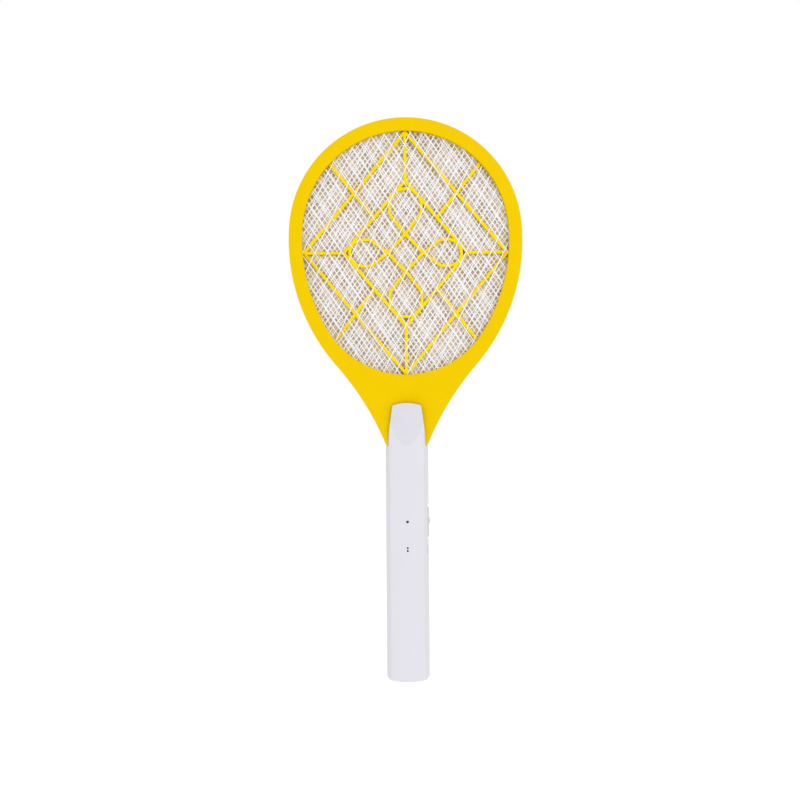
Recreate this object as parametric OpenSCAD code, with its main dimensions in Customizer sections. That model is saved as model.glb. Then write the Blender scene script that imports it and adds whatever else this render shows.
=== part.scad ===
// Hand-held electric fly swatter: a racket head with three metal meshes on a battery handle.
// +Z runs from the end of the handle to the top of the head, and the front faces -Y.

/* [Head] */
// Radius of the head's round top
head_r = 93.1; // [92.5:0.1:93.5]
// Height of the centre of the round top
head_z = 356.5; // [356:0.1:357]
// Radius of the round top of the opening
opening_r = 82.4; // [81.6:0.1:82.8]
// Thickness of the two frame halves together
head_t = 16; // [16:0.5:18]
// Depth of the lip in front of an outer mesh
lip_t = 2.6; // [2.2:0.1:2.6]

/* [Meshes] */
// Width of an outer mesh's diamond
outer_pitch_x = 10.5; // [9:0.1:13]
// Height of an outer mesh's diamond
outer_pitch_z = 17.9; // [16:0.1:20]
// Width of an outer mesh's strand
outer_strand = 1.1; // [0.8:0.1:1.6]
// Width of the centre mesh's diamond, twice the real one
centre_pitch_x = 8.4; // [8:0.1:10]
// Height of the centre mesh's diamond, twice the real one
centre_pitch_z = 11.6; // [11:0.1:13]
// Width of the centre mesh's strand
centre_strand = 1.0; // [0.6:0.1:1.2]
// Thickness of each mesh
mesh_t = 0.6; // [0.4:0.1:0.6]

/* [Spacer grids] */
// Width of a straight bar
bar_w = 2.3; // [1.8:0.1:2.4]
// Width of a petal's curved bar
petal_w = 2.1; // [1.6:0.1:2.1]

/* [Handle] */
// Width of the handle between its side ridges
handle_w = 34.2; // [34.2:0.1:36]
// Thickness of the handle at its crown
handle_t = 26; // [26:0.5:28]
// Wall of the handle shells
wall = 2; // [1.8:0.1:2.2]
// Height of the tongues that hold the head
tongue_top = 221.6; // [220:0.2:222]
// Height at which the tongues leave the handle
shoulder_z = 187.6; // [187:0.2:188]

/* [Controls] */
// Height of the slide switch
switch_z = 127.3; // [127:0.1:128]
// Travel of the slide switch each way from its middle stop
switch_travel = 2.5; // [1.5:0.1:2.5]
// Height of the push button
button_z = 104.3; // [104:0.1:104.6]
// Diameter of the push button's cap
button_d = 9.6; // [9:0.1:9.6]
// Travel of the push button
button_travel = 1.2; // [0.8:0.1:1.2]
// Height of the charge light
charge_led_z = 127.2; // [126:0.1:128]
// Height of the middle of the two status lights
status_led_z = 105.3; // [105:0.1:106]

/* [Hidden] */
$fn = 48;

// Head outline: the round top runs into a flatter flank, and the flank into a hollow neck.
flank_r = 152.5;
neck_r = 226.5;
join_a = 4.5;
neck_a = 41.1;
tang_w = 12.6;
tang_z = 181.5;
// Opening outline: the same top, a flatter flank and a round lower end.
opening_flank_r = 139.3;
opening_end_r = 72.5;
// Room for the meshes and grids between the lips, past the opening's edge.
pocket_d = 4.6;
pocket_fit = 0.3;
mesh_gap = 0.1;
outer_y = head_t / 2 - lip_t - mesh_t - mesh_gap;
grid_y0 = mesh_t / 2 + 2 * mesh_gap;
grid_y1 = outer_y - mesh_gap;
mesh_tilt = 4;
centre_tilt = -1.5;
tab_w = 2;
tab_z = 234.5;
outer_tab_x = 9.5;
centre_tab_x = 5.6;
lead_d = 1.4;

// Handle section: a crowned front and back, and sides that slope to a ridge at the parting plane.
crown_r = 70;
face_half = 12.8;
edge_drop = 1.8;
side_draft = 0.277;
end_r = 75;
end_corner_r = 2.2;
tongue_slope = 4;
tongue_gap = 0.1;
half_t = handle_t / 2;
half_w = handle_w / 2;
head_half = head_t / 2;

// Screws: three through the neck and two through the handle.
neck_screws = [[0, 213.4], [-6.3, 195.3], [6.3, 195.3]];
handle_screws = [[0, 90.9], [0, 9]];
screw_d = 2.6;
screw_l = 12;
screw_head_d = 4.4;
screw_head_l = 1.5;
recess_d = 4.8;
neck_seat = head_half + 1.3;
handle_seat = 2;
boss_d = 5.6;
post_d = 7.4;

// Main board, and the standoffs and screws that hold it.
board_y = 2.5;
board_t = 1.6;
board_w = 24.8;
board_z0 = 97.5;
board_z1 = 180;
board_fixings = [[-9.5, 101.5], [9.2, 176.5]];
board_screw_d = 1.6;

// Battery and the charge port beside the lower screw post.
battery_d = 18.4;
battery_l = 65;
battery_z = 15;
port_x = -9.6;
port_w = 8.9;
port_t = 3.2;

// Slide switch and push button, on the +X ridge.
knob_x = half_w - 0.9;
knob_l = 23.4;
knob_w = 6;
// The plate reaches further below its ridge than above it.
knob_z = switch_z - 1.2;
pocket_floor_x = knob_x - 0.3;
collar_x = half_w - 4.1;
collar_d = 12.8;
button_gap = 0.3;

function arc(c, r, a0, a1, n) =
    [for (i = [0:n]) c + r * [cos(a0 + (a1 - a0) * i / n), sin(a0 + (a1 - a0) * i / n)]];
function mirrored(p) = [-p[0], p[1]];
function both_sides(half) = concat(half, [for (i = [len(half) - 1:-1:0]) mirrored(half[i])]);
function join_centre(r, r_in) = [(r - r_in) * cos(join_a), head_z + (r - r_in) * sin(join_a)];

flank_c = join_centre(head_r, flank_r);
neck_c = flank_c + (flank_r + neck_r) * [cos(neck_a), -sin(neck_a)];
neck_end_a = 180 - asin((shoulder_z + 0.4 - neck_c[1]) / neck_r);
opening_flank_c = join_centre(opening_r, opening_flank_r);
opening_end_z = opening_flank_c[1]
    - sqrt(pow(opening_flank_r - opening_end_r, 2) - pow(opening_flank_c[0], 2));
opening_end_a = atan2(opening_end_z - opening_flank_c[1], -opening_flank_c[0]);

head_outline = both_sides(concat(
    [[tang_w, tang_z], [tang_w, shoulder_z + 0.2]],
    arc(neck_c, neck_r, neck_end_a, 180 - neck_a, 10),
    arc(flank_c, flank_r, 2 - neck_a, join_a - 2, 14),
    arc([0, head_z], head_r, join_a, 89.5, 24)));

function opening(d) = both_sides(concat(
    arc([0, opening_end_z], opening_end_r + d, -89.5, opening_end_a, 12),
    arc(opening_flank_c, opening_flank_r + d, opening_end_a + 2, join_a - 2, 10),
    arc([0, head_z], opening_r + d, join_a, 89.5, 22)));

// Handle section, from the front crown round to the ridge, shrunk by inset.
function crown_y(x, inset) = x * x / (2 * crown_r) - half_t + inset;
function front_quarter(inset) = concat(
    [for (i = [0:5]) let(x = (face_half - inset) * i / 5 + 0.01) [x, crown_y(x, inset)]],
    [let(y = inset + edge_drop - half_t) [half_w - inset + side_draft * y, y],
        [half_w - inset, -0.6], [half_w - inset, 0]]);
function front_section(inset) = both_sides(front_quarter(inset));

// Handle outline seen from the front: the convex end, the sides and the tongue.
handle_outline = both_sides(concat(
    [for (i = [0:6]) let(x = 14.6 * i / 6 + 0.01) [x, end_r - sqrt(end_r * end_r - x * x)]],
    arc([half_w + 0.1 - end_corner_r, end_corner_r + 1.5], end_corner_r, -75, 0, 5),
    [[half_w + 0.1, shoulder_z - 1.2], [half_w - 1.4, shoulder_z + 1.2]],
    arc([9.2, tongue_top - 3.8], 2.5, 7, 76, 5),
    [for (i = [4:-1:0]) let(x = 9 * i / 5 + 0.01) [x, tongue_top - x * x / 64]]));

// Draws a front-view shape between two depths.
module flat(y0, y1) translate([0, y1, 0]) rotate([90, 0, 0]) linear_extrude(y1 - y0) children();

// A pin along +Y from y0 to y1, placed in the front view.
module pin(at, y0, y1, d) translate([at[0], y0, at[1]]) rotate([-90, 0, 0]) cylinder(h = y1 - y0, d = d);

// A pin along +X from x0 to x1, at a height on the parting plane.
module side_pin(z, x0, x1, d) translate([x0, 0, z]) rotate([0, 90, 0]) cylinder(h = x1 - x0, d = d);

// A box given by its lowest and highest corners.
module block(low, high) translate(low) cube(high - low);

// A round wire through a list of points.
module wire(points, d) {
    for (i = [0:len(points) - 2]) {
        run = points[i + 1] - points[i];
        translate(points[i])
            rotate([0, acos(run[2] / norm(run)), atan2(run[1], run[0])])
                cylinder(h = norm(run), d = d, $fn = 24);
    }
    for (i = [1:1:len(points) - 2]) translate(points[i]) sphere(d = 1.08 * d, $fn = 24);
}

function unit(v) = v / norm(v);
function side_of(a, b) = let(u = unit(b - a)) [-u[1], u[0]];
// A closed counterclockwise loop moved inwards by d.
function inward(loop, d) = [for (i = [0:len(loop) - 1])
    let(n = len(loop), a = side_of(loop[(i + n - 1) % n], loop[i]), b = side_of(loop[i], loop[(i + 1) % n]),
        m = unit(a + b)) loop[i] + m * d / (m * a)];

module loop_bar(loop, w) difference() {
    polygon(inward(loop, -w / 2));
    polygon(inward(loop, w / 2));
}

module bar(a, b, w) {
    n = side_of(a, b) * w / 2;
    polygon([a + n, a - n, b - n, b + n]);
}

// ---- Head ----

module frame_half(y0, y1, pocket_y0, pocket_y1) difference() {
    flat(y0, y1) difference() {
        polygon(head_outline);
        polygon(opening(0));
    }
    flat(pocket_y0, pocket_y1) polygon(opening(pocket_d));
    for (s = neck_screws) pin(s, -head_half - 1, head_half + 1, boss_d + 2 * pocket_fit);
    // Channel for the two mesh leads, past the middle boss.
    flat(pocket_y0, pocket_y1) polygon([[-2.4, tang_z - 1], [2.4, tang_z - 1], [2.4, 198.5], [11, 206.5],
        [11, 242], [4, 242], [4, 206.8], [-2.4, 201.5]]);
}

module head_front_frame() color("gold") frame_half(-head_half, 0, lip_t - head_half, 1);

module head_rear_frame() color("gold") frame_half(0, head_half, -1, head_half - lip_t);

module grid_2d() {
    ring_top = [0, head_z + opening_r - 0.4];
    ring_end = [0, opening_end_z - opening_end_r + 0.6];
    waist_z = 341.8;
    ring_side = [81.4, waist_z];
    inner_top = [0, 399.4];
    inner_end = [0, 283.3];
    inner_side = [49.5, waist_z];
    knot = [14.4, 15];
    difference() {
        polygon(opening(pocket_d - pocket_fit));
        polygon(opening(0.3));
    }
    loop_bar([ring_side, ring_top, mirrored(ring_side), ring_end], bar_w);
    loop_bar([inner_side, inner_top, mirrored(inner_side), inner_end], bar_w);
    loop_bar([for (a = [0:90:270]) [knot[0] * cos(a), waist_z + knot[1] * sin(a)]], bar_w);
    bar(inner_top, ring_top + [0, 1.5], bar_w);
    bar(ring_end - [0, 1.5], inner_end, bar_w);
    for (side = [-1, 1]) {
        bar([side * 49.5, waist_z], [side * 83, waist_z], bar_w);
        bar([side * 25.2, 370.1], [side * 60.8, 413.9], bar_w);
        bar([side * 24.9, 312.8], [side * 56.6, 272.0], bar_w);
        translate([side * knot[0], waist_z]) rotate(-90 * side) petal(30.4, 10.6);
    }
    translate([0, waist_z + knot[1]]) petal(36.4, 12.8);
    translate([0, waist_z - knot[1]]) rotate(180) petal(36.2, 12.8);
}

// A teardrop loop from its point at the origin up to a round end at height l, with half width w.
module petal(l, w) {
    corner_r = 0.7 * w;
    rise = l - w - 0.12 * l;
    half = concat([[0, 0]],
        arc([w - corner_r, rise], corner_r, -45, 0, 4),
        arc([0, l - w], w, 0, 84, 8));
    loop_bar(concat(half, [for (i = [len(half) - 1:-1:1]) mirrored(half[i])]), petal_w);
}

module front_spacer_grid() color("gold") flat(-grid_y1, -grid_y0) grid_2d();

module rear_spacer_grid() color("gold") flat(grid_y0, grid_y1) grid_2d();

// Expanded metal: a sheet with rows of diamond holes, each row half a diamond along.
module mesh_2d(pitch_x, pitch_z, strand, tilt, tab_x) {
    hole = 1 - strand * norm([pitch_x, pitch_z]) / (pitch_x * pitch_z);
    columns = ceil(200 / pitch_x);
    rows = ceil(220 / pitch_z);
    difference() {
        polygon(opening(pocket_d - 2 * pocket_fit));
        translate([0, head_z]) rotate(tilt)
            for (i = [-columns:columns], j = [-rows:rows])
                if ((i + j) % 2 == 0 && norm([i * pitch_x, j * pitch_z + 30]) < 230)
                    translate([i * pitch_x / 2, j * pitch_z / 2]) scale([hole, hole])
                        polygon([[pitch_x / 2, 0], [0, pitch_z / 2], [-pitch_x / 2, 0], [0, -pitch_z / 2]]);
    }
    // Tab that a lead is soldered to, hidden in the frame.
    translate([tab_x - tab_w / 2, tab_z]) square([tab_w, 9]);
    translate([tab_x - pitch_x / 2, tab_z + 6.7]) square([pitch_x, 2.3]);
}

module front_mesh() color("lightgray") flat(-outer_y - mesh_t, -outer_y)
    mesh_2d(outer_pitch_x, outer_pitch_z, outer_strand, mesh_tilt, outer_tab_x);

module rear_mesh() color("lightgray") flat(outer_y, outer_y + mesh_t)
    mesh_2d(outer_pitch_x, outer_pitch_z, outer_strand, -mesh_tilt, outer_tab_x);

module centre_mesh() color("gainsboro") flat(-mesh_t / 2, mesh_t / 2)
    mesh_2d(centre_pitch_x, centre_pitch_z, centre_strand, centre_tilt, centre_tab_x);

// Strip that joins the two outer meshes, standing below the opening inside the frame.
module mesh_jumper() color("silver") {
    x0 = outer_tab_x - tab_w / 2;
    x1 = outer_tab_x + tab_w / 2;
    block([x0, -outer_y, tab_z + 2.7], [x1, outer_y, tab_z + 3.2]);
    for (y = [-outer_y, outer_y - 0.4]) block([x0, y, tab_z + 2.7], [x1, y + 0.4, tab_z + 5.1]);
}

module outer_mesh_lead() color("black") {
    y = lead_d / 2 - outer_y;
    wire([[outer_tab_x, y, tab_z + 2.4], [outer_tab_x, y, 208], [1.1, y, 199], [1.1, y, 182], [5.2, y, 176],
        [5.2, board_y, 176]], lead_d);
}

module centre_mesh_lead() color("red") {
    y = -(mesh_t + lead_d) / 2;
    wire([[centre_tab_x, y, tab_z + 4], [centre_tab_x, y, 206.5], [-1, y, 200.5], [-1, y, 182],
        [2.2, y, 178], [2.2, board_y, 178]], lead_d);
}

// ---- Handle shells ----

// Cuts on the +X side for the slide switch and the push button.
module side_cuts() {
    block([pocket_floor_x, -knob_w / 2 - 0.3, knob_z - knob_l / 2 - switch_travel - 0.3],
        [half_w + 2, knob_w / 2 + 0.3, knob_z + knob_l / 2 + switch_travel + 0.3]);
    block([collar_x, -1.9, switch_z - 2.7 - switch_travel],
        [half_w + 1, 1.9, switch_z + 2.7 + switch_travel]);
    side_pin(button_z, half_w - 1.4, half_w + 2, button_d + 1.8);
    side_pin(button_z, collar_x - 1, half_w + 1, button_d + 2 * button_gap);
}

// The solid front half of the handle, before the rear one is mirrored from it.
module half_body() {
    intersection() {
        linear_extrude(tongue_top + 1) polygon(front_section(0));
        flat(-half_t - 1, 1) polygon(handle_outline);
    }
}

// The sloping flat on the tongue's face, cut by a plane that starts at the shoulder.
module tongue_flat() translate([-half_w - 1, -half_t, shoulder_z]) rotate([-tongue_slope, 0, 0])
    translate([0, -5, -5]) cube([handle_w + 2, 5, 50]);

module half_shell() {
    difference() {
        half_body();
        translate([0, 0, wall + 0.6]) linear_extrude(tang_z - wall - 0.6) polygon(front_section(wall));
        block([-tang_w - pocket_fit, -head_half - tongue_gap, tang_z - 1],
            [tang_w + pocket_fit, 1, shoulder_z + 1]);
        block([-half_w - 1, -head_half - tongue_gap, shoulder_z], [half_w + 1, 1, tongue_top + 2]);
        tongue_flat();
        side_cuts();
    }
    // Collar round the push button.
    difference() {
        intersection() {
            side_pin(button_z, collar_x, half_w - 1.7, collar_d);
            linear_extrude(200) polygon(front_section(wall / 2));
        }
        side_pin(button_z, collar_x - 1, half_w + 1, button_d + 2 * button_gap);
    }
}

// The charge port's slot in the handle's end.
module port_cut() translate([port_x, 0, -1]) linear_extrude(6) {
    square([port_w - port_t + 0.4, port_t + 0.4], center = true);
    for (side = [-1, 1]) translate([side * (port_w - port_t) / 2, 0]) circle(d = port_t + 0.4);
}

// Rib with a round seat for the battery.
module battery_rib() linear_extrude(1.6) difference() {
    polygon([for (p = front_section(wall - 0.3)) [p[0], min(p[1], -1.5)]]);
    circle(d = battery_d + 0.3);
}

module handle_front_shell() color("whitesmoke") difference() {
    union() {
        half_shell();
        for (s = neck_screws) pin(s, -head_half - 1, head_half - 2, boss_d);
        for (s = handle_screws) pin(s, -half_t + wall - 0.2, -0.1, post_d - 1);
        for (s = board_fixings) pin(s, -half_t + wall - 0.2, board_y, 4.6);
        for (z = [battery_z + 6, battery_z + battery_l - 8]) translate([0, 0, z]) battery_rib();
    }
    for (s = neck_screws) pin(s, neck_seat - screw_l, half_t, screw_d);
    for (s = handle_screws) pin(s, handle_seat - screw_l, half_t, screw_d);
    for (s = board_fixings) pin(s, board_y + board_t - 7, half_t, board_screw_d);
    pin([0, charge_led_z], -half_t - 1, -half_t + 3, 2.2);
    for (side = [-1, 1]) pin([0, status_led_z + side * 1.15], -half_t - 1, -half_t + 3, 1.6);
    port_cut();
}

module handle_rear_shell() color("whitesmoke") difference() {
    union() {
        mirror([0, 1, 0]) half_shell();
        for (s = handle_screws) pin(s, 0.1, half_t - wall + 0.2, post_d);
    }
    for (s = concat(neck_screws, handle_screws)) pin(s, -1, half_t + 1, screw_d + 0.4);
    for (s = neck_screws) pin(s, neck_seat, half_t + 1, recess_d);
    for (s = handle_screws) pin(s, handle_seat, half_t + 1, recess_d);
    port_cut();
}

module shell_screw(at, seat) {
    pin(at, seat - screw_l, seat + 0.5, screw_d);
    difference() {
        pin(at, seat, seat + screw_head_l, screw_head_d);
        for (turn = [0, 90])
            translate([at[0], seat + screw_head_l, at[1]])
                rotate([0, turn, 0]) cube([2.6, 1.6, 0.6], center = true);
    }
}

module shell_screws() color("dimgray") {
    for (s = neck_screws) shell_screw(s, neck_seat);
    for (s = handle_screws) shell_screw(s, handle_seat);
}

// ---- Main board and its parts, which stand on the board's front face ----

module main_board() color("darkgreen") difference() {
    block([-board_w / 2, board_y, board_z0], [board_w / 2, board_y + board_t, board_z1]);
    for (s = board_fixings) pin(s, board_y - 1, board_y + board_t + 1, board_screw_d + 0.4);
    // Notch that clears the push button's flange.
    block([9.9, board_y - 1, board_z0 - 1], [board_w, board_y + board_t + 1, button_z + collar_d / 2 + 0.2]);
}

module board_screws() color("silver") for (s = board_fixings) {
    pin(s, board_y + board_t - 7, board_y + board_t + 0.4, board_screw_d);
    difference() {
        pin(s, board_y + board_t, board_y + board_t + 1.2, 3.4);
        translate([s[0], board_y + board_t + 1.2, s[1]]) cube([2.4, 1, 0.5], center = true);
    }
}

winding_y = -4;
core_z = [147, 171];
core_half_t = 2.5;
flange_t = 1;

module transformer_core() color("dimgray") {
    difference() {
        block([-10.5, winding_y - core_half_t, core_z[0]], [10.5, winding_y + core_half_t, core_z[1]]);
        block([-8, winding_y - 5, core_z[0] + 4.5], [8, winding_y + 5, core_z[1] - 4.5]);
    }
    block([-2, winding_y - core_half_t + 0.5, core_z[0] + 4],
        [2, winding_y + core_half_t - 0.5, core_z[1] - 4]);
}

module transformer_bobbin() color("beige") translate([0, winding_y, core_z[0] + 4.7]) {
    inner = core_z[1] - core_z[0] - 9.4;
    difference() {
        union() {
            cylinder(h = inner, d = 7.4);
            for (z = [0, inner - flange_t]) translate([0, 0, z]) cylinder(h = flange_t, d = 13);
            // Foot that stands on the board and carries the pins.
            translate([-6, 3.5, 0]) cube([12, board_y - winding_y - 3.5, 3]);
        }
        translate([-2.2, -2.2, -1]) cube([4.4, 4.4, inner + 2]);
    }
}

module transformer_winding() color("orange") translate([0, winding_y, core_z[0] + 8.2]) difference() {
    length = core_z[1] - core_z[0] - 9.4 - flange_t - 3.7;
    cylinder(h = length, d = 11.6);
    translate([0, 0, -1]) cylinder(h = length + 2, d = 7.6);
}

module high_voltage_capacitor() color("firebrick") {
    block([-11, -7, 135.6], [7, board_y - 0.6, 142.4]);
    for (x = [-9.5, 5.5]) pin([x, 139], board_y - 0.7, board_y, 0.7);
}

module multiplier_capacitors() color("royalblue") for (x = [-9, -2.9]) {
    difference() {
        pin([x, 176.2], -4.4, board_y - 0.4, 6);
        block([x - 4, -5, 178], [x + 4, board_y, 181]);
        block([x - 4, -5, 171], [x + 4, board_y, 174.4]);
    }
    for (side = [-1, 1]) pin([x + side * 2, 176.2], board_y - 0.5, board_y, 0.6);
}

// A part with a round body and two bent leads, lying on the board.
module axial_part(x, z, body_d, body_l, lead_half) {
    y = board_y - body_d / 2 - 0.1;
    translate([x - body_l / 2, y, z]) rotate([0, 90, 0]) cylinder(h = body_l, d = body_d);
    wire([[x - lead_half, board_y, z], [x - lead_half, y, z], [x + lead_half, y, z],
        [x + lead_half, board_y, z]], 0.6);
}

module rectifier_diodes() color("black") for (i = [0:3]) axial_part(-7, 111.4 + 3.2 * i, 2.6, 4.6, 4);

module resistors() color("tan") {
    axial_part(7.4, 145, 1.8, 4.4, 3.4);
    axial_part(-7, 124.6, 2.2, 5.6, 4);
    axial_part(-7, 128.4, 2.2, 5.6, 4);
    axial_part(-7, 132.2, 2.2, 5.6, 4);
    axial_part(-6.4, 107.6, 2.2, 5.6, 4);
}

module drive_transistor() color("black") {
    difference() {
        pin([7, 115], -6.5, -1.5, 4.8);
        block([4, -7, 116.4], [10, -1, 118]);
    }
    for (i = [-1:1]) pin([7 + 1.27 * i, 115], -1.6, board_y, 0.5);
}

// A light with a domed tip behind its hole, on two leads.
module led(z, d, body_l) {
    tip = -half_t + wall + 0.1;
    translate([0, tip + d / 2, z]) sphere(d = d);
    pin([0, z], tip + d / 2, tip + body_l, d);
    for (side = [-1, 1]) pin([side * d / 4, z], tip + body_l - 0.5, board_y, 0.4);
}

module charge_led() color("darkorange") {
    led(charge_led_z, 3, 5);
    pin([0, charge_led_z], -half_t + wall + 4.1, -half_t + wall + 5.1, 3.6);
}

module status_leds() color("lightgray") for (side = [-1, 1]) led(status_led_z + side * 1.15, 1.8, 4);

// ---- Controls ----

lever_travel_room = switch_travel + 1.6;

module switch_housing() color("silver") difference() {
    block([6.2, -2.4, switch_z - 5.6], [11.9, board_y, switch_z + 5.6]);
    block([8.9, -1.2, switch_z - lever_travel_room], [13, 1.2, switch_z + lever_travel_room]);
}

module switch_lever() color("dimgray")
    block([9.3, -0.9, switch_z - 1.2], [14.5, 0.9, switch_z + 1.2]);

// The thumb piece: a crowned plate over the slot with a pointed ridge across its middle.
module switch_knob() color("whitesmoke") difference() {
    union() {
        translate([0, 0, knob_z - knob_l / 2]) linear_extrude(knob_l)
            polygon([[knob_x, -knob_w / 2], [knob_x + 0.7, -knob_w / 2], [knob_x + 1.1, -1.8],
                [knob_x + 1.2, 0], [knob_x + 1.1, 1.8], [knob_x + 0.7, knob_w / 2], [knob_x, knob_w / 2]]);
        translate([0, 0, switch_z]) flat(0.3 - knob_w / 2, knob_w / 2 - 0.3)
            polygon([[knob_x, -3], [knob_x + 1.1, -3], [knob_x + 2.3, -0.4], [knob_x + 2.3, 0.4],
                [knob_x + 1.1, 3], [knob_x, 3]]);
        block([collar_x, -1.6, switch_z - 2.4], [knob_x + 0.1, 1.6, switch_z + 2.4]);
    }
    block([collar_x - 1, -0.95, switch_z - 1.25], [14.6, 0.95, switch_z + 1.25]);
}

module button_housing() color("black") difference() {
    block([3.4, -3.6, button_z - 3.5], [9.6, board_y, button_z + 3.5]);
    side_pin(button_z, 5, 10, 3.4);
}

module button_plunger() color("ivory") side_pin(button_z, 6.6, 11.6, 3.3);

module button_cap() color("whitesmoke") difference() {
    union() {
        side_pin(button_z, 11.6, collar_x - button_gap, collar_d - 0.6);
        side_pin(button_z, collar_x - button_gap - 0.1, half_w - 0.3, button_d);
    }
    // Dished face.
    translate([half_w - 0.3 + 24.6, 0, button_z]) rotate([0, 90, 0]) sphere(r = 25, $fn = 96);
}

// ---- Power ----

module battery_cell() color("steelblue") {
    translate([0, 0, battery_z]) cylinder(h = battery_l, d = battery_d);
}

module battery_tabs() color("silver") {
    block([-3, -3.5, battery_z - 0.3], [3, 3.5, battery_z]);
    block([-3, -3.5, battery_z + battery_l], [3, 3.5, battery_z + battery_l + 0.3]);
}

module positive_lead() color("red") wire([[2, 0, battery_z + battery_l + 0.9], [4.9, 1, 84],
    [4.9, board_y - lead_d / 2, 98]], lead_d);

module negative_lead() color("black") wire([[-2, 0, battery_z - 1.05], [-9.6, 5.6, battery_z - 1.05],
    [-10.4, 6.4, 19], [-10.4, 6.4, 78], [-4.9, 0.9, 86], [-4.9, board_y - lead_d / 2, 98]], lead_d);

module battery_pad() color("darkslategray")
    block([-5, battery_d / 2 + 0.05, 26], [5, half_t - wall - 0.3, 68]);

module charge_board() color("darkgreen") block([-14, port_t / 2 + 0.1, 3.6], [-4.4, port_t / 2 + 1.1, 12.8]);

module charge_port() color("silver") translate([port_x, 0, 1.2]) linear_extrude(7.4) difference() {
    union() {
        square([port_w - port_t, port_t], center = true);
        for (side = [-1, 1]) translate([side * (port_w - port_t) / 2, 0]) circle(d = port_t);
    }
    square([port_w - port_t, port_t - 0.6], center = true);
    for (side = [-1, 1]) translate([side * (port_w - port_t) / 2, 0]) circle(d = port_t - 0.6);
}

module charge_port_tongue() color("black") {
    block([port_x - 3.2, -0.35, 2.2], [port_x + 3.2, 0.35, 8.6]);
    block([port_x - 3.1, -1.25, 7.6], [port_x + 3.1, 1.25, 8.6]);
}

module charge_chip() color("black") {
    block([port_x - 2.4, port_t / 2 - 1.3, 9.6], [port_x + 0.6, port_t / 2 + 0.1, 12.6]);
}

module charge_leads() color("red") for (i = [0, 1]) {
    x = port_x - 1.8 + 2 * i;
    wire([[x, port_t / 2 + 1.7, 10], [x, port_t / 2 + 1.7, 14.5], [-12.4, 2.4 - 2.2 * i, 21],
        [-12.4, 2.4 - 2.2 * i, 86], [1.6 * i - 8.4, board_y - 0.6, 98.2]], 1.2);
}

head_front_frame();
head_rear_frame();
front_spacer_grid();
rear_spacer_grid();
front_mesh();
centre_mesh();
rear_mesh();
mesh_jumper();
outer_mesh_lead();
centre_mesh_lead();
handle_front_shell();
handle_rear_shell();
shell_screws();
main_board();
board_screws();
transformer_core();
transformer_bobbin();
transformer_winding();
high_voltage_capacitor();
multiplier_capacitors();
rectifier_diodes();
resistors();
drive_transistor();
charge_led();
status_leds();
switch_housing();
switch_knob();
switch_lever();
button_housing();
button_cap();
button_plunger();
battery_cell();
battery_tabs();
positive_lead();
negative_lead();
battery_pad();
charge_board();
charge_port();
charge_port_tongue();
charge_chip();
charge_leads();
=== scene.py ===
import math
import random

import bmesh
import bpy
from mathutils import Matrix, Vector, noise as smooth_noise


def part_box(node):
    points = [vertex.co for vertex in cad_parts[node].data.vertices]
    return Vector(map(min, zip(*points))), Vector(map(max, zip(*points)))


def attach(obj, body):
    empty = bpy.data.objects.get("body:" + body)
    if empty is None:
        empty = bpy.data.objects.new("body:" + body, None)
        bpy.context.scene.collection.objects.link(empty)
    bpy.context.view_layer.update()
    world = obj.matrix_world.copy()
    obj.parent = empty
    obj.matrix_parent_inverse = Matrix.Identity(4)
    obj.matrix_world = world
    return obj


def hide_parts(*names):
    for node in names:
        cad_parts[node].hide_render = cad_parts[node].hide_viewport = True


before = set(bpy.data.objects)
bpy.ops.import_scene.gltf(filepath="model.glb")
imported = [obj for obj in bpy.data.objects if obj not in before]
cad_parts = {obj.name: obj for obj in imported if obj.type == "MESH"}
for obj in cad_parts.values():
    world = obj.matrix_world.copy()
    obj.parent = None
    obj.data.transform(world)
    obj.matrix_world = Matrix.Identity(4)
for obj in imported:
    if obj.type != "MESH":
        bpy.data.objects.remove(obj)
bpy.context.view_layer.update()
random.seed(11)
MM = 0.001


# ---- Materials ----

def ramp(tree, fac, stops):
    node = tree.nodes.new("ShaderNodeValToRGB")
    tree.links.new(fac, node.inputs["Fac"])
    elements = node.color_ramp.elements
    while len(elements) < len(stops):
        elements.new(0.5)
    for element, (at, color) in zip(elements, stops):
        element.position = at
        element.color = (*color, 1)
    return node.outputs["Color"]


def noise(tree, scale, detail, stretch):
    coords = tree.nodes.new("ShaderNodeTexCoord")
    mapping = tree.nodes.new("ShaderNodeMapping")
    mapping.inputs["Scale"].default_value = stretch
    tree.links.new(coords.outputs["Object"], mapping.inputs["Vector"])
    node = tree.nodes.new("ShaderNodeTexNoise")
    node.inputs["Scale"].default_value = scale
    node.inputs["Detail"].default_value = detail
    node.inputs["Roughness"].default_value = 0.55
    tree.links.new(mapping.outputs["Vector"], node.inputs["Vector"])
    return node.outputs["Fac"]


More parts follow.
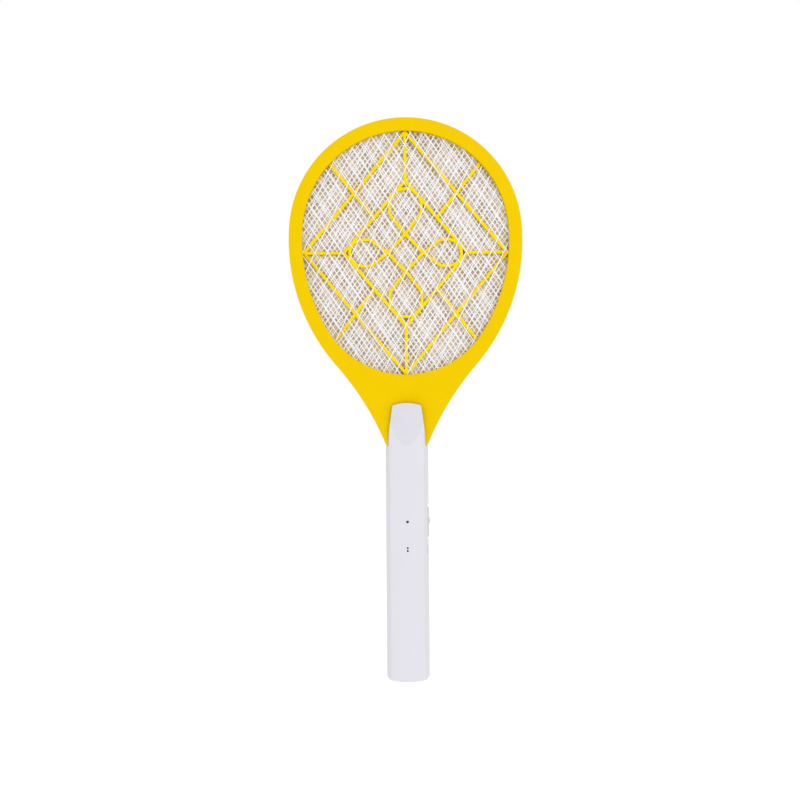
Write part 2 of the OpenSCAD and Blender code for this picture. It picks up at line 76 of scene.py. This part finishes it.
def material(name, light, dark, rough, metallic=0.0, scale=90.0, stretch=(1, 1, 1), grain=900.0, bump=0.05,
             coat=0.0, mid=(0.3, 0.7), specular=0.5, glow=None):
    """Broad noise mixes the two colours, and fine grain sets the roughness and the bump."""
    mat = bpy.data.materials.new(name)
    mat.use_nodes = True
    tree = mat.node_tree
    shader = tree.nodes["Principled BSDF"]
    shader.inputs["Metallic"].default_value = metallic
    shader.inputs["Specular IOR Level"].default_value = specular
    if coat:
        shader.inputs["Coat Weight"].default_value = coat
        shader.inputs["Coat Roughness"].default_value = 0.12
    if glow:
        shader.inputs["Emission Color"].default_value = (*glow[0], 1)
        shader.inputs["Emission Strength"].default_value = glow[1]
    broad = noise(tree, scale, 4.0, stretch)
    tree.links.new(ramp(tree, broad, [(mid[0], dark), (mid[1], light)]), shader.inputs["Base Color"])
    fine = noise(tree, grain, 2.0, stretch)
    span = tree.nodes.new("ShaderNodeMapRange")
    span.inputs["To Min"].default_value = max(0.02, rough - 0.06)
    span.inputs["To Max"].default_value = min(1.0, rough + 0.06)
    tree.links.new(fine, span.inputs["Value"])
    tree.links.new(span.outputs["Result"], shader.inputs["Roughness"])
    if bump:
        relief = tree.nodes.new("ShaderNodeBump")
        relief.inputs["Strength"].default_value = bump
        relief.inputs["Distance"].default_value = 0.0001
        tree.links.new(fine, relief.inputs["Height"])
        tree.links.new(relief.outputs["Normal"], shader.inputs["Normal"])
    return mat


def plain(name, color, rough, low=0.9, **more):
    """One colour that varies down to low times its brightness."""
    return material(name, color, tuple(min(1.0, c * low) for c in color), rough, **more)


def multiply_by_attribute(mat, attribute):
    """Multiplies the material's colour by a colour attribute of the mesh."""
    tree = mat.node_tree
    base = tree.nodes["Principled BSDF"].inputs["Base Color"]
    variation = base.links[0].from_node
    variation.color_ramp.elements[0].color = (0.86, 0.84, 0.82, 1)
    variation.color_ramp.elements[1].color = (1, 1, 1, 1)
    color = tree.nodes.new("ShaderNodeVertexColor")
    color.layer_name = attribute
    mix = tree.nodes.new("ShaderNodeMix")
    mix.data_type = "RGBA"
    mix.blend_type = "MULTIPLY"
    mix.inputs["Factor"].default_value = 1.0
    tree.links.new(variation.outputs["Color"], mix.inputs[6])
    tree.links.new(color.outputs["Color"], mix.inputs[7])
    tree.links.new(mix.outputs[2], base)


YELLOW = plain("yellow_plastic", (0.73, 0.492, 0.0), 0.38, low=0.965, scale=26, grain=1400, bump=0.06,
               specular=0.02)
YELLOW_GRID = plain("yellow_grid_plastic", (0.90, 0.64, 0.0), 0.42, low=0.94, scale=60, grain=1600,
                    specular=0.02)
WHITE = plain("white_plastic", (0.625, 0.613, 0.663), 0.36, low=0.978, scale=22, stretch=(1, 1, 0.35),
              grain=1500, specular=0.08)
# The tongue's sloping flat: its finer grain and rougher finish are real, and its colour a little darker
# than the white plastic is painted shade.
SATIN_PAINTED_SHADE = plain("white_satin_plastic_painted_shade", (0.60, 0.588, 0.634), 0.6, low=0.955, scale=700, grain=1800, bump=0.14,
              specular=0.2)
CONTROL = plain("control_plastic", (0.60, 0.59, 0.63), 0.42, low=0.96, scale=80, grain=1800, bump=0.08,
                specular=0.25)
OUTER_METAL = plain("outer_mesh_metal", (0.76, 0.79, 0.87), 0.42, low=0.93, metallic=0.15, scale=120,
                    grain=2500, bump=0.1)
INNER_METAL = plain("centre_mesh_metal", (0.87, 0.88, 0.925), 0.5, low=0.95, metallic=0.1, scale=150,
                    grain=2500, bump=0.1)
# The centre sheet's webs carry painted shade, and painted light where an outer strand lies behind.
PAINTED_SHADE_WEB = plain("centre_mesh_web_painted_shade", (0.5, 0.4, 0.3), 0.6, low=0.8, metallic=0.1, scale=700, grain=2500, bump=0.1)
multiply_by_attribute(PAINTED_SHADE_WEB, "painted_light_and_shade")
JUMPER = plain("jumper_steel", (0.62, 0.62, 0.61), 0.32, metallic=1.0, scale=200, grain=2000)
STEEL = plain("plated_steel", (0.60, 0.60, 0.60), 0.3, metallic=1.0, scale=160, grain=2200, bump=0.08)
SCREW = plain("screw_steel", (0.20, 0.20, 0.21), 0.34, low=0.75, metallic=1.0, scale=300, grain=2500,
              bump=0.1)
BOARD = material("circuit_board", (0.03, 0.17, 0.06), (0.015, 0.10, 0.035), 0.35, scale=260, grain=1200,
                 bump=0.1, coat=0.3, mid=(0.45, 0.55))
FERRITE = plain("ferrite", (0.055, 0.055, 0.06), 0.7, low=0.6, scale=400, grain=3000, bump=0.3)
BOBBIN = plain("bobbin_plastic", (0.74, 0.66, 0.46), 0.5, scale=150)
COPPER = plain("copper_wire", (0.62, 0.25, 0.10), 0.3, low=0.7, metallic=0.9, scale=500,
               stretch=(0.2, 0.2, 5), grain=900, bump=0.5)
RED_DIP = plain("red_capacitor", (0.42, 0.035, 0.02), 0.25, low=0.8, scale=120, coat=0.4)
BLUE_DIP = plain("blue_capacitor", (0.03, 0.10, 0.40), 0.25, low=0.8, scale=160, coat=0.4)
TAN = plain("resistor_body", (0.58, 0.42, 0.24), 0.45, low=0.85, scale=200)
BLACK = plain("black_plastic", (0.03, 0.03, 0.032), 0.45, low=0.7, scale=200, grain=1500, bump=0.15)
AMBER = plain("amber_light", (0.34, 0.11, 0.02), 0.22, low=0.7, scale=300, coat=0.5)
CLEAR = plain("status_light", (0.22, 0.22, 0.21), 0.25, low=0.6, scale=300, coat=0.5)
SLEEVE = plain("cell_wrap", (0.05, 0.22, 0.40), 0.3, low=0.85, scale=60, coat=0.3)
RED_WIRE = plain("red_insulation", (0.48, 0.02, 0.015), 0.5, low=0.85, scale=200)
BLACK_WIRE = plain("black_insulation", (0.02, 0.02, 0.02), 0.5, low=0.8, scale=200)
FOAM = plain("foam", (0.05, 0.055, 0.06), 0.95, low=0.5, scale=900, grain=2500, bump=0.8)


# ---- Building pieces ----

def add_piece(name, mesh, body, mats, node, sharp=35):
    for mat in mats:
        mesh.materials.append(mat)
    mesh.polygons.foreach_set("use_smooth", [True] * len(mesh.polygons))
    mesh.set_sharp_from_angle(angle=math.radians(sharp))
    obj = bpy.data.objects.new(name, mesh)
    bpy.context.scene.collection.objects.link(obj)
    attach(obj, body)
    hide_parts(node)
    return obj


def mesh_from(name, verts, faces):
    mesh = bpy.data.meshes.new(name)
    mesh.from_pydata([Vector(v) * MM for v in verts], [], faces)
    mesh.update()
    return mesh


def refine(node, body, mat, width, edge_width=None, segments=2, angle=30):
    """The CAD solid with its hard edges rounded. edge_width gives other widths for edges that it picks."""
    bm = bmesh.new()
    bm.from_mesh(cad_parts[node].data)
    bmesh.ops.remove_doubles(bm, verts=bm.verts, dist=2e-6)
    bmesh.ops.dissolve_limit(bm, angle_limit=math.radians(0.4), verts=bm.verts, edges=bm.edges)
    bm.normal_update()
    groups = {}
    for e in bm.edges:
        if len(e.link_faces) == 2 and e.calc_face_angle(0) > math.radians(angle):
            w = edge_width(e, width) if edge_width else width
            if w > 0:
                groups.setdefault(round(w, 3), []).append(e)
    for w in sorted(groups):
        bmesh.ops.bevel(bm, geom=[e for e in groups[w] if e.is_valid], offset=w * MM,
                        segments=segments if w > 0.15 else 1, profile=0.5, affect="EDGES",
                        clamp_overlap=True)
    bmesh.ops.triangulate(bm, faces=[f for f in bm.faces if len(f.verts) > 4])
    # Bevel leaves its faces in an order that changes from run to run, and corner normals follow it.
    bm.verts.index_update()
    ordered = sorted(bm.faces, key=lambda f: sorted(v.index for v in f.verts))
    rank = {f: i for i, f in enumerate(ordered)}
    bm.faces.sort(key=rank.get)
    mesh = bpy.data.meshes.new(node)
    bm.to_mesh(mesh)
    bm.free()
    return add_piece(node, mesh, body, [mat], node)


def eased(points, reach=2.0):
    """The points of a lead's line, with each corner rounded within reach millimetres of it."""
    line = [points[0]]
    for i in range(1, len(points) - 1):
        corner = points[i]
        back, onward = points[i - 1] - corner, points[i + 1] - corner
        enter = corner + back.normalized() * min(reach, back.length * 0.45)
        leave = corner + onward.normalized() * min(reach, onward.length * 0.45)
        for k in range(6):
            t = k / 5
            line.append(enter * (1 - t) ** 2 + corner * 2 * t * (1 - t) + leave * t * t)
    return line + [points[-1]]


def tube(name, points, d, mat, node):
    """A round lead of diameter d along an eased line through the points."""
    sides = 14
    line = eased([Vector(p) for p in points])
    verts, faces = [], []
    normal = Vector((0.3, 0.9, 0.31)).normalized()
    for i, p in enumerate(line):
        ahead = line[min(i + 1, len(line) - 1)] - line[max(i - 1, 0)]
        ahead.normalize()
        normal = (normal - ahead * normal.dot(ahead)).normalized()
        other = ahead.cross(normal)
        for k in range(sides):
            a = 2 * math.pi * k / sides
            verts.append(p + (normal * math.cos(a) + other * math.sin(a)) * d / 2)
    for i in range(len(line) - 1):
        for k in range(sides):
            n = (k + 1) % sides
            faces.append((i * sides + k, i * sides + n, (i + 1) * sides + n, (i + 1) * sides + k))
    faces.append(tuple(range(sides - 1, -1, -1)))
    faces.append(tuple(len(verts) - sides + k for k in range(sides)))
    add_piece(name, mesh_from(name, verts, faces), "swatter", [mat], node, 50)


# ---- Expanded metal ----

HEAD_Z = 356.5
OPENING_TOP_R, OPENING_FLANK_R, OPENING_END_R = 82.4, 139.3, 72.5
JOIN_ANGLE = math.radians(4.5)
EDGE_MARGIN = 3.9
OUTER_PITCH, OUTER_TILT = (10.5, 17.9), 4.4
CENTRE_PITCH, CENTRE_TILT = (4.2, 5.8), -1.5
TAB_Z = 234.5
# Colours of the painted shade on the centre sheet's webs, and of the painted light where an outer strand
# lies behind.
WEB_PAINTED_SHADE_DARK, WEB_PAINTED_SHADE_LIGHT, WEB_PAINTED_STRAND_LIGHT = (0.43, 0.305, 0.175), (0.64, 0.515, 0.38), (0.80, 0.765, 0.73)


def inside(x, z):
    """Whether a point lies within a sheet's edge, which runs a little outside the head's opening."""
    x = abs(x)
    step = OPENING_FLANK_R - OPENING_TOP_R
    flank_x, flank_z = -step * math.cos(JOIN_ANGLE), HEAD_Z - step * math.sin(JOIN_ANGLE)
    end_z = flank_z - math.sqrt((OPENING_FLANK_R - OPENING_END_R) ** 2 - flank_x ** 2)
    if math.atan2(z - HEAD_Z, x) > JOIN_ANGLE:
        return math.hypot(x, z - HEAD_Z) < OPENING_TOP_R + EDGE_MARGIN
    if math.atan2(z - flank_z, x - flank_x) > math.atan2(end_z - flank_z, -flank_x):
        return math.hypot(x - flank_x, z - flank_z) < OPENING_FLANK_R + EDGE_MARGIN
    return math.hypot(x, z - end_z) < OPENING_END_R + EDGE_MARGIN


def at_edge(p, q):
    """The point between p, inside the sheet, and q where the sheet ends."""
    near, far = 0.0, 1.0
    for _ in range(12):
        mid = (near + far) / 2
        if inside(p[0] + (q[0] - p[0]) * mid, p[1] + (q[1] - p[1]) * mid):
            near = mid
        else:
            far = mid
    return (p[0] + (q[0] - p[0]) * near, p[1] + (q[1] - p[1]) * near)


def paint_web_light_and_shade(x, z, shift):
    """Painted shade on the centre sheet's webs: broad soft patches of shadow, and paler where an outer
    strand lies behind, painted as that strand's light.
    """
    broad = smooth_noise.noise(Vector((x / 14, z / 20, 3.1)))
    fine = smooth_noise.noise(Vector((x / 5, z / 7, 8.2)))
    t = min(1.0, max(0.0, 0.5 + 1.1 * (broad + 0.5 * fine) + shift))
    color = [d + (b - d) * t for d, b in zip(WEB_PAINTED_SHADE_DARK, WEB_PAINTED_SHADE_LIGHT)]
    c, s = math.cos(math.radians(OUTER_TILT)), math.sin(math.radians(OUTER_TILT))
    u = (x * c - (z - HEAD_Z) * s) / (OUTER_PITCH[0] / 2)
    v = (x * s + (z - HEAD_Z) * c) / (OUTER_PITCH[1] / 2)
    near = min(abs((u + v) % 2 - 1), abs((u - v) % 2 - 1))
    painted_strand_light = 0.85 * min(1.0, max(0.0, 1 - (near - 0.07) / 0.1))
    return [k + (p - k) * painted_strand_light for k, p in zip(color, WEB_PAINTED_STRAND_LIGHT)]


class Sheet:
    """A sheet of expanded metal: strands between the corners of diamonds, at the depth of its CAD node."""

    def __init__(self, node, pitch, tilt, section):
        low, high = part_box(node)
        self.y = ((low + high) / 2 / MM)[1]
        self.node = node
        self.pitch_x, self.pitch_z = pitch
        self.cos_t, self.sin_t = math.cos(math.radians(tilt)), math.sin(math.radians(tilt))
        self.section = section
        self.columns, self.rows = int(230 / self.pitch_x) + 2, int(250 / self.pitch_z) + 2
        self.verts, self.faces, self.kinds, self.light_and_shade_colors = [], [], [], []

    def turned(self, x, z):
        return (x * self.cos_t - z * self.sin_t, x * self.sin_t + z * self.cos_t)

    def place(self, i, j):
        x, z = self.turned(i * self.pitch_x / 2, j * self.pitch_z / 2)
        return (x, HEAD_Z + z)

    def places(self, parity):
        """Every place inside the sheet where strands cross (parity 1) or a diamond has its middle (0)."""
        for i in range(-self.columns, self.columns + 1):
            for j in range(-self.rows, self.rows + 1):
                if (i + j) % 2 == parity and inside(*self.place(i, j)):
                    yield self.place(i, j)

    def add(self, verts, faces, kinds=None):
        first = len(self.verts)
        self.verts += verts
        self.faces += [tuple(first + m for m in face) for face in faces]
        self.kinds += kinds or [0] * len(faces)

    def add_block(self, corners, y0, y1):
        """A block with four corners in the sheet's plane, between two depths."""
        self.add([(x, self.y + y, z) for y in (y0, y1) for x, z in corners],
                 [(0, 1, 2, 3), (7, 6, 5, 4), (0, 4, 5, 1), (1, 5, 6, 2), (2, 6, 7, 3), (3, 7, 4, 0)])

    def add_bar(self, p, q, shift):
        """A straight bar of the sheet's section from p to q."""
        run = math.hypot(q[0] - p[0], q[1] - p[1])
        if run < 1:
            return
        ux, uz = (q[0] - p[0]) / run, (q[1] - p[1]) / run
        n = len(self.section)
        self.add([(end[0] - uz * u, self.y + y + shift, end[1] + ux * u) for end in (p, q)
                  for u, y in self.section],
                 [(m, (m + 1) % n, n + (m + 1) % n, n + m) for m in range(n)]
                 + [tuple(range(n - 1, -1, -1)), tuple(range(n, 2 * n))])

    def add_strands(self):
        """Two families of straight bars, a hair apart through the sheet where they cross."""
        for lean in (-1, 1):
            for k in range(-self.columns - self.rows, self.columns + self.rows + 1):
                line = [self.place(k + lean * j, j) for j in range(-self.rows, self.rows + 1)]
                within = [m for m, at in enumerate(line) if inside(*at)]
                if k % 2 == 1 and within:
                    p = at_edge(line[within[0]], line[max(0, within[0] - 1)])
                    q = at_edge(line[within[-1]], line[min(len(line) - 1, within[-1] + 1)])
                    self.add_bar(p, q, 0.012 * lean)

    def add_bonds(self):
        """The wider knots where strands cross."""
        half = max(u for u, y in self.section)
        front_y, back_y = min(y for u, y in self.section) - 0.03, max(y for u, y in self.section) + 0.03
        tips = [self.turned(x * half, z * half) for x, z in ((0, -2.3), (1.45, 0), (0, 2.3), (-1.45, 0))]
        for cx, cz in self.places(1):
            self.add_block([(cx + x, cz + z) for x, z in tips], front_y, back_y)

    def add_tab(self, x):
        """The solder tab at the bottom edge, inside the frame, with a foot that meets the strands."""
        for half, z0, z1 in ((1, TAB_Z, TAB_Z + 7), (self.pitch_x / 2, TAB_Z + 6.7, TAB_Z + 9)):
            self.add_block([(x - half, z0), (x + half, z0), (x + half, z1), (x - half, z1)], -0.3, 0.3)

    def add_painted_shade_webs(self):
        """Thin webs between the strands that carry painted shade, in nine facets each, with a slit under
        the upper corner.
        """
        rim = [0, 4, 8, 12, 13, 14, 15, 11, 7, 3, 2, 1]
        half_x, half_z = self.pitch_x / 2, self.pitch_z / 2
        for cx, cz in self.places(0):
            shift = random.uniform(-0.12, 0.12)
            verts = []
            for k, y in ((0.92, 0.06), (0.80, 0.2)):
                for a in range(4):
                    for b in range(4):
                        x, z = self.turned(k * (a - b) / 3 * half_x,
                                           min(k * ((a + b) / 3 - 1), 0.64) * half_z)
                        verts.append((cx + x, self.y + y, cz + z))
            facets = []
            for a in range(3):
                for b in range(3):
                    f = 4 * a + b
                    facets += [(f, f + 4, f + 5, f + 1), (f + 16, f + 17, f + 21, f + 20)]
                    painted_light_and_shade = paint_web_light_and_shade(cx + (a - b) / 3 * half_x, cz + ((a + b + 1) / 3 - 1) * half_z, shift)
                    self.light_and_shade_colors += [(len(self.faces) + 2 * (3 * a + b) + side, painted_light_and_shade) for side in (0, 1)]
            sides = [(n, m, m + 16, n + 16) for m, n in zip(rim, rim[1:] + rim[:1])]
            self.add(verts, facets + sides, [1] * len(facets) + [0] * len(sides))

    def build(self, mats):
        mesh = mesh_from(self.node, self.verts, self.faces)
        # The webs' painted light and shade is stored per face corner in a colour attribute.
        if self.light_and_shade_colors:
            layer = mesh.color_attributes.new("painted_light_and_shade", "FLOAT_COLOR", "CORNER")
            values = [1.0] * (4 * len(mesh.loops))
            for face, color in self.light_and_shade_colors:
                for loop in mesh.polygons[face].loop_indices:
                    values[4 * loop:4 * loop + 3] = color
            layer.data.foreach_set("color", values)
        add_piece(self.node, mesh, "swatter", mats, self.node, 20)
        mesh.polygons.foreach_set("material_index", self.kinds)


def flat_strand(w, t, ease):
    """A strand's section: flat, with eased edges."""
    return [(-w / 2, -t / 2 + ease), (-w / 2 + ease, -t / 2),
            (w / 2 - ease, -t / 2), (w / 2, -t / 2 + ease),
            (w / 2, t / 2 - ease), (w / 2 - ease, t / 2),
            (-w / 2 + ease, t / 2), (-w / 2, t / 2 - ease)]


for node, tilt in (("front_mesh", OUTER_TILT), ("rear_mesh", -OUTER_TILT)):
    sheet = Sheet(node, OUTER_PITCH, tilt, flat_strand(0.80, 0.56, 0.16))
    sheet.add_strands()
    sheet.add_bonds()
    sheet.add_tab(9.5)
    sheet.build([OUTER_METAL])

sheet = Sheet("centre_mesh", CENTRE_PITCH, CENTRE_TILT,
              [(-0.46, -0.14), (-0.38, -0.24), (0.38, -0.24), (0.46, -0.14), (0.46, 0.0), (-0.46, 0.0)])
sheet.add_strands()
sheet.add_bonds()
sheet.add_tab(5.6)
# The webs are a sheet of painted shade between the strands.
sheet.add_painted_shade_webs()
sheet.build([INNER_METAL, PAINTED_SHADE_WEB])


# ---- Head and handle ----

CROWN_R = 70
CROWN_AXIS_Y = 57
SIDE_DRAFT = 0.277
CHARGE_LIGHT_Z, STATUS_LIGHTS_Z = 127.2, 105.3


def near_parting(e):
    return all(abs(v.co.y) < 0.05 * MM for v in e.verts)


def head_edges(e, width):
    """Only the head's outer edges are rounded, and the ones under the handle's tongue less."""
    if near_parting(e):
        return 0.12
    x, y = (max(abs(v.co[axis]) for v in e.verts) / MM for axis in (0, 1))
    middle_z = sum(v.co.z for v in e.verts) / 2 / MM
    if y > 7.9:
        return 0.15 if middle_z < 222 and x < 12 else width
    return 0.0


def shell_edges(e, width):
    """Only the edges that show are rounded, and those at the lights and the controls less."""
    if near_parting(e):
        return 0.12
    mid = (e.verts[0].co + e.verts[1].co) / 2 / MM
    x, y, z = abs(mid.x), abs(mid.y), mid.z
    inner_x = 15.1 - SIDE_DRAFT * y
    hidden = x < inner_x - 0.5 and y < 11.0 - x * x / (2 * CROWN_R) and 2.5 < z < 187
    if hidden or (z > 181 and y < 8.3):
        return 0.0
    if math.hypot(x, z - CHARGE_LIGHT_Z) < 2 or math.hypot(x, z - STATUS_LIGHTS_Z) < 3:
        return 0.15
    if mid.x > 13 and 85 < z < 150:
        return 0.2
    return width


def shell_normals(mesh, side):
    """True normals for the crowned face and the flat sides, and upright ones for the long edges."""
    axis_y = -CROWN_AXIS_Y * side
    true = {}
    for face in mesh.polygons:
        spots = [mesh.vertices[v].co / MM for v in face.vertices]
        on_crown = all(abs(math.hypot(p.x, p.y - axis_y) - CROWN_R) < 0.06 for p in spots)
        lean = face.normal.y * side
        if lean > 0.9 and on_crown:
            for v, p in zip(face.vertices, spots):
                true[v] = Vector((p.x, p.y - axis_y, 0)).normalized()
        elif abs(face.normal.x) > 0.95 and abs(lean - 0.28) < 0.02 and abs(face.normal.z) < 0.02:
            for v in face.vertices:
                true[v] = face.normal.copy()
    normals = [Vector(corner.vector) for corner in mesh.corner_normals]
    for face in mesh.polygons:
        heights = [mesh.vertices[v].co.z for v in face.vertices]
        upright = max(heights) - min(heights) > 30 * MM and abs(face.normal.z) < 0.02
        for loop, v in zip(face.loop_indices, face.vertices):
            if v in true and normals[loop].dot(true[v]) > 0.7:
                normals[loop] = true[v]
            elif upright:
                normals[loop] = Vector((normals[loop].x, normals[loop].y, 0)).normalized()
    mesh.normals_split_custom_set(normals)


def texture_and_shade_tongue(mesh):
    """The sloping flat on the tongue is finely textured, and its colour is a little darker as painted
    shade.
    """
    mesh.materials.append(SATIN_PAINTED_SHADE)
    for face in mesh.polygons:
        if face.center.z > 188 * MM and abs(face.center.y) > 8.5 * MM and 0.03 < face.normal.z < 0.12:
            face.material_index = 1


for half in ("front", "rear"):
    refine(f"head_{half}_frame", "swatter", YELLOW, 0.7, head_edges, 3, 40)
    refine(f"{half}_spacer_grid", "swatter", YELLOW_GRID, 0.3, None, 2, 40)

for half, side in (("front", -1), ("rear", 1)):
    shell = refine(f"handle_{half}_shell", "swatter", WHITE, 0.7, shell_edges, 3, 30).data
    shell_normals(shell, side)
    # The tongue's sloping flat gets a darker colour as painted shade.
    texture_and_shade_tongue(shell)


# ---- Screws, controls and what the handle holds ----

for node, body, mat, slot, width in (
        ("shell_screws", "swatter", SCREW, "screw_steel", 0.2),
        ("switch_knob", "switch_slider", CONTROL, "control_plastic", 0.25),
        ("switch_lever", "switch_slider", BLACK, "black_plastic", 0.2),
        ("switch_housing", "swatter", STEEL, "bright_steel", 0.3),
        ("button_cap", "push_button", CONTROL, "control_plastic", 0.3),
        ("button_plunger", "push_button", CONTROL, "control_plastic", 0.3),
        ("button_housing", "swatter", BLACK, "black_plastic", 0.3),
        ("mesh_jumper", "swatter", JUMPER, "outer_mesh_metal", 0.06),
        ("main_board", "swatter", BOARD, "circuit_board", 0.15),
        ("board_screws", "swatter", STEEL, "bright_steel", 0.2),
        ("transformer_core", "swatter", FERRITE, "ferrite", 0.35),
        ("transformer_bobbin", "swatter", BOBBIN, "bobbin_plastic", 0.2),
        ("transformer_winding", "swatter", COPPER, "copper_wire", 0.3),
        ("high_voltage_capacitor", "swatter", RED_DIP, "red_capacitor", 0.9),
        ("multiplier_capacitors", "swatter", BLUE_DIP, "blue_capacitor", 0.5),
        ("rectifier_diodes", "swatter", BLACK, "black_plastic", 0.25),
        ("resistors", "swatter", TAN, "resistor_body", 0.35),
        ("drive_transistor", "swatter", BLACK, "black_plastic", 0.2),
        ("charge_led", "swatter", AMBER, "amber_light", 0.15),
        ("status_leds", "swatter", CLEAR, "status_light", 0.1),
        ("battery_cell", "swatter", SLEEVE, "cell_wrap", 0.8),
        ("battery_tabs", "swatter", STEEL, "bright_steel", 0.08),
        ("battery_pad", "swatter", FOAM, "foam", 0.3),
        ("charge_board", "swatter", BOARD, "circuit_board", 0.1),
        ("charge_port", "swatter", STEEL, "bright_steel", 0.1),
        ("charge_port_tongue", "swatter", BLACK, "black_plastic", 0.12),
        ("charge_chip", "swatter", BLACK, "black_plastic", 0.15)):
    refine(node, body, mat, width)

LEAD_D = 1.4
for name, mat, slot, route in (
        ("outer_mesh_lead", BLACK_WIRE, "black_insulation",
         [(9.5, -4, 236.9), (9.5, -4, 208), (1.1, -4, 199), (1.1, -4, 182), (5.2, -4, 176),
          (5.2, 2.5, 176)]),
        ("centre_mesh_lead", RED_WIRE, "red_insulation",
         [(5.6, -1, 238.5), (5.6, -1, 206.5), (-1, -1, 200.5), (-1, -1, 182), (2.2, -1, 178),
          (2.2, 2.5, 178)]),
        ("positive_lead", RED_WIRE, "red_insulation",
         [(2, 0, 80.9), (4.9, 1, 84), (4.9, 1.8, 98)]),
        ("negative_lead", BLACK_WIRE, "black_insulation",
         [(-2, 0, 13.95), (-9.6, 5.6, 13.95), (-10.4, 6.4, 19), (-10.4, 6.4, 78), (-4.9, 0.9, 86),
          (-4.9, 1.8, 98)])):
    tube(name, route, LEAD_D, mat, name)

CHARGE_LEAD_D = 1.2
for i, mat, slot in ((0, BLACK_WIRE, "black_insulation"), (1, RED_WIRE, "red_insulation")):
    x, side_y = 2 * i - 11.4, 2.4 - 2.2 * i
    tube(f"charge_lead_{i + 1}",
         [(x, 3.3, 10), (x, 3.3, 14.5), (-12.4, side_y, 21), (-12.4, side_y, 86),
          (1.6 * i - 8.4, 1.9, 98.2)],
         CHARGE_LEAD_D, mat, "charge_leads")


# ---- Floor, light and camera ----

FLOOR_Z = -0.13
FLOOR_HALF = 9


def floor():
    mesh = bpy.data.meshes.new("floor")
    corners = ((-1, -1), (1, -1), (1, 1), (-1, 1))
    mesh.from_pydata([(x * FLOOR_HALF, y * FLOOR_HALF, FLOOR_Z) for x, y in corners], [], [(0, 1, 2, 3)])
    mesh.materials.append(material("floor_paint", (0.95, 0.95, 0.95), (0.94, 0.94, 0.94), 0.9, scale=3,
                                   grain=40, bump=0.0, glow=((1, 1, 1), 0.12)))
    obj = bpy.data.objects.new("floor", mesh)
    bpy.context.scene.collection.objects.link(obj)


def studio():
    world = bpy.data.worlds.new("studio")
    bpy.context.scene.world = world
    world.use_nodes = True
    background = world.node_tree.nodes["Background"]
    background.inputs["Color"].default_value = (1.0, 1.0, 1.0, 1)
    background.inputs["Strength"].default_value = 1.0


def softbox(name, location, aim, size, power):
    light = bpy.data.lights.new(name, "AREA")
    light.shape = "RECTANGLE"
    light.size, light.size_y = size
    light.energy = power
    obj = bpy.data.objects.new(name, light)
    bpy.context.scene.collection.objects.link(obj)
    obj.location = location
    obj.rotation_euler = (Vector(aim) - Vector(location)).to_track_quat("-Z", "Y").to_euler()


def camera():
    """Level with the middle of the swatter, in front of it, and turned a little about its own axis."""
    data = bpy.data.cameras.new("camera")
    data.sensor_width = 36
    data.lens = 58.82
    data.clip_start = 0.01
    obj = bpy.data.objects.new("camera", data)
    bpy.context.scene.collection.objects.link(obj)
    obj.location = (-0.0053, -1.05, 0.224)
    obj.rotation_euler = (math.radians(90), math.radians(0.40), 0)
    bpy.context.scene.camera = obj


floor()
studio()
softbox("key", (0.9, -1.9, 0.9), (0, 0, 0.25), (1.2, 1.2), 10)
softbox("fill", (-1.5, -1.6, 0.5), (0, 0, 0.2), (1.0, 1.4), 3)
camera()
bpy.context.scene.view_settings.view_transform = "Standard"
